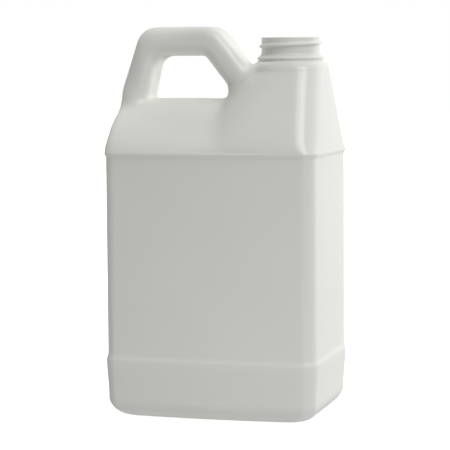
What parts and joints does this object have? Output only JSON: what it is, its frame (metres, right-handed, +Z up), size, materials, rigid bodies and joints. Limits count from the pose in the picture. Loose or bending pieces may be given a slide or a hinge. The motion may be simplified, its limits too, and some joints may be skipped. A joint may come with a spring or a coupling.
{
  "type": "jug",
  "caption": "Hollow f-style plastic jug with a rectangular body, sloped shoulders, a grip handle and an open threaded neck.",
  "frame": {"origin": "centre of the whole object's box, on the plane it stands on", "axes": "+X along the broad faces towards the neck, +Y towards the back broad face, +Z up out of the neck"},
  "size_m": [0.1326, 0.099, 0.2364],
  "materials": {
    "jug": "satin, natural to white polyethylene"
  },
  "bodies": {
    "root": {"jug": "jug"}
  },
  "joints": []
}
